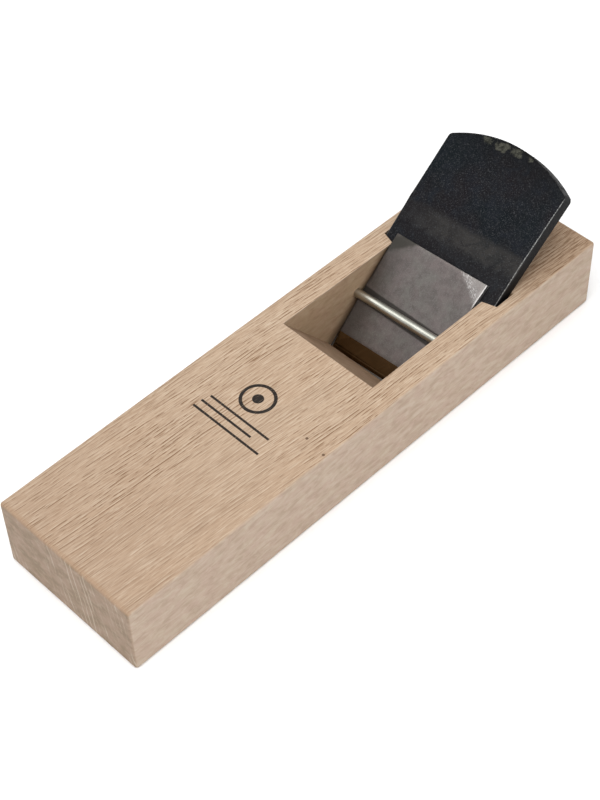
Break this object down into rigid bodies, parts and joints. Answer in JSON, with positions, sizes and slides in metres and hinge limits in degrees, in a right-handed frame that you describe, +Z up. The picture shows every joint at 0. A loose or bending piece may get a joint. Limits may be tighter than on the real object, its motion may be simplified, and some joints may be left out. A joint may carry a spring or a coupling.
{
  "type": "hand plane",
  "caption": "Wooden pull plane with a laminated blade wedged on a slanted bed and a bent-cornered chipbreaker held on it by a steel pin across the throat.",
  "frame": {"origin": "centre of the sole", "axes": "+X along the body towards the blade's head, +Y to the left cheek, +Z up from the sole"},
  "size_m": [0.24, 0.067, 0.0671],
  "materials": {
    "oak": "planed, unfinished, with short dark rays along the grain",
    "pin_steel": "bright drawn wire",
    "forged_iron": "blue-black forge scale, worn at the head and edges",
    "edge_steel": "ground and polished",
    "chipbreaker_iron": "matt ground, grey"
  },
  "bodies": {
    "body": {"body_block": "oak", "pressure_pin": "pin_steel"},
    "blade": {"blade_iron": "forged_iron", "blade_steel": "edge_steel"},
    "chipbreaker": {"chipbreaker_iron": "chipbreaker_iron", "chipbreaker_steel": "edge_steel"}
  },
  "joints": [
    {"name": "blade_slide", "type": "slide", "parent": "body", "child": "blade", "axis": [0.7809, 0, 0.6247], "range_m": [-0.0008, 0.095]},
    {"name": "chipbreaker_slide", "type": "slide", "parent": "blade", "child": "chipbreaker", "axis": [0.7531, 0, 0.6579], "range_m": [-0.0003, 0.06]}
  ]
}
